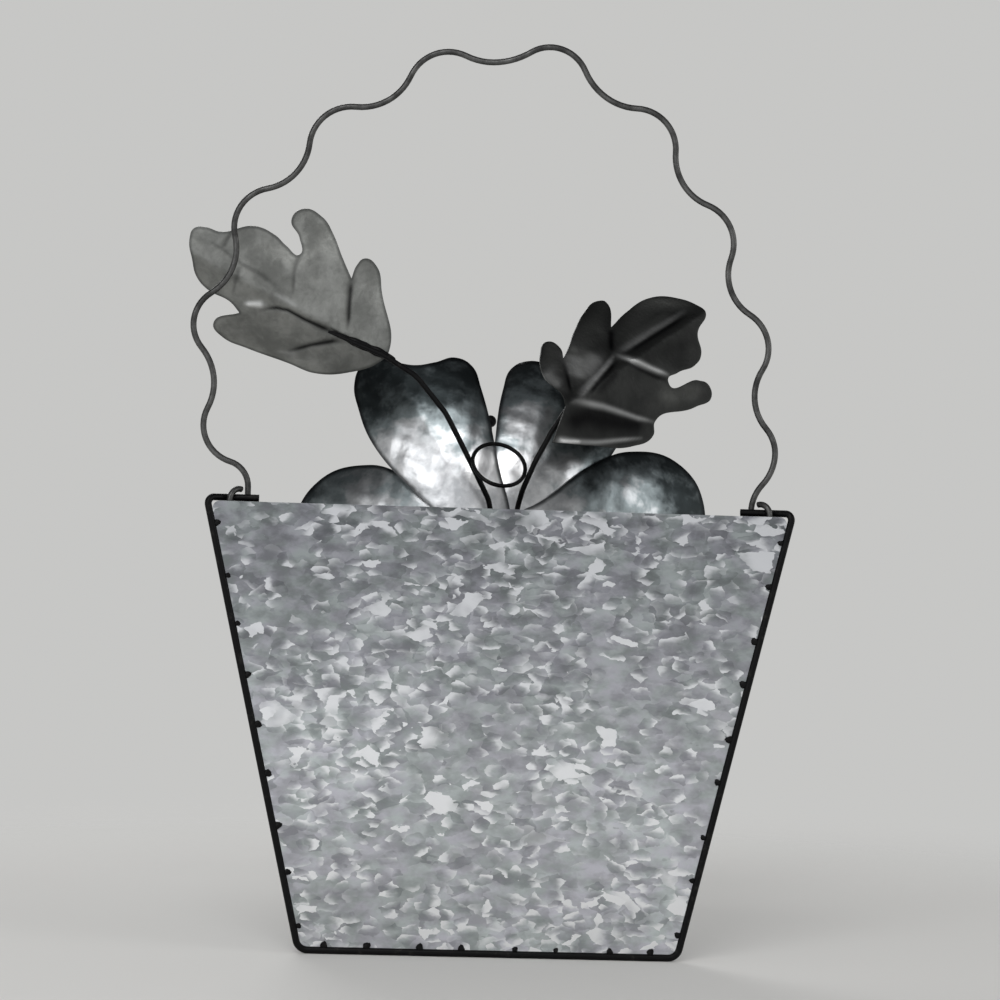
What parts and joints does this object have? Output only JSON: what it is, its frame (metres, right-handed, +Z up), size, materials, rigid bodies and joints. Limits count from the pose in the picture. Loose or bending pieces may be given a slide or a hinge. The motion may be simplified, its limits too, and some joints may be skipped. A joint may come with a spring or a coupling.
{
  "type": "wall pocket planter",
  "caption": "Half-bucket wall pocket in galvanised sheet on a black wire frame, with a swinging wavy wire bail and a tin flower with lobed leaves on wire stems.",
  "frame": {"origin": "middle of the bottom plate's underside, midway between the back panel and the front of the base wire", "axes": "+X to the right seen from the flat back panel, +Y from the panel towards the bowed wall and the flower, +Z up"},
  "size_m": [0.2639, 0.1192, 0.3919],
  "materials": {
    "galvanised_sheet": "galvanised with a coarse zinc spangle",
    "black_wire": "satin black",
    "bail_wire": "dark annealed wire",
    "flower_tin": "tinned sheet, bright with darker mottling",
    "leaf_tin": "tinned sheet, dull",
    "bright_rivet": "bright"
  },
  "bodies": {
    "pocket": {"back_panel": "galvanised_sheet", "front_wall": "galvanised_sheet", "bottom_plate": "galvanised_sheet", "edge_wire": "black_wire", "rim_wire": "black_wire", "base_wire": "black_wire", "panel_welds": "black_wire", "petal_upper_left": "flower_tin", "petal_upper_right": "flower_tin", "petal_left": "flower_tin", "petal_right": "flower_tin", "petal_lower": "flower_tin", "flower_spacer": "bright_rivet", "rivet_burr": "bright_rivet", "flower_rivet": "bright_rivet", "flower_boss": "flower_tin", "pistil": "black_wire", "pistil_tip": "black_wire", "left_leaf": "leaf_tin", "right_leaf": "leaf_tin", "left_stem": "black_wire", "right_stem": "black_wire", "stem_ring": "black_wire"},
    "bail": {"handle": "bail_wire"}
  },
  "joints": [
    {"name": "handle_swing", "type": "hinge", "parent": "pocket", "child": "bail", "pos_m": [0, -0.014, 0.193], "axis": [1, 0, 0], "range_deg": [-13, 105]}
  ]
}
